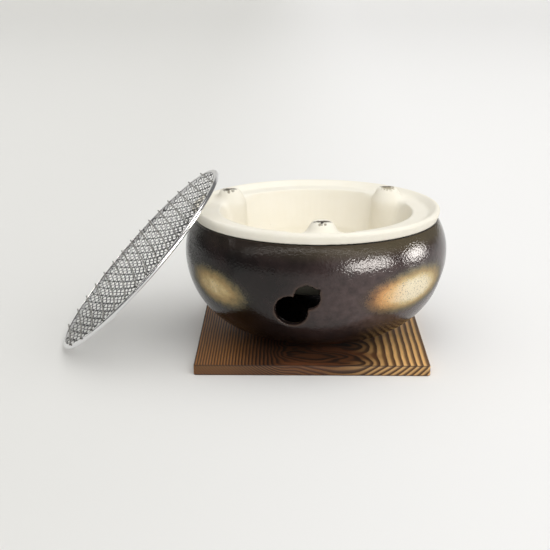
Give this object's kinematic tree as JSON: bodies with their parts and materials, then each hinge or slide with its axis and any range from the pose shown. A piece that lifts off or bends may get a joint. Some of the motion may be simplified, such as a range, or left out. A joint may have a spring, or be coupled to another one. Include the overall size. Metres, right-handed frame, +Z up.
{
  "type": "charcoal brazier",
  "caption": "Round glazed stoneware charcoal brazier on a wooden board, with draught vents, a clay liner with lugs, a fire grate and a leaning wire net.",
  "frame": {"origin": "underside of the board, straight below the axis of the bowl", "axes": "+Z up along the bowl's axis, +Y away from the front, +X to the right as seen from the front; the net leans on the left"},
  "size_m": [0.4006, 0.2712, 0.1785],
  "materials": {
    "brushed_cedar": "burnt, brushed and oiled",
    "dark_glazed_stoneware": "glossy dark glaze with golden kiln patches",
    "pale_clay": "unglazed, matt",
    "grate_clay": "unglazed, matt",
    "chrome_rim": "bright plated sheet",
    "chrome_wire": "bright plated wire"
  },
  "bodies": {
    "board": {"board": "brushed_cedar"},
    "bowl": {"outer_bowl": "dark_glazed_stoneware"},
    "liner": {"liner": "pale_clay"},
    "grate": {"fire_grate": "grate_clay"},
    "net": {"net_rim": "chrome_rim", "net_mesh_over": "chrome_wire", "net_mesh_under": "chrome_wire", "net_support_wires": "chrome_wire"}
  },
  "joints": [
    {"name": "bowl_lift", "type": "slide", "parent": "board", "child": "bowl", "axis": [0, 0, 1], "range_m": [0, 0.12]},
    {"name": "liner_lift", "type": "slide", "parent": "bowl", "child": "liner", "axis": [0, 0, 1], "range_m": [0, 0.11]},
    {"name": "grate_lift", "type": "slide", "parent": "liner", "child": "grate", "axis": [0, 0, 1], "range_m": [0, 0.11]},
    {"name": "net_tip", "type": "hinge", "parent": "liner", "child": "net", "pos_m": [-0.26433, -0.02313, 0.00248], "axis": [0.0872, -0.9962, 0], "range_deg": [0, 132.8]}
  ]
}
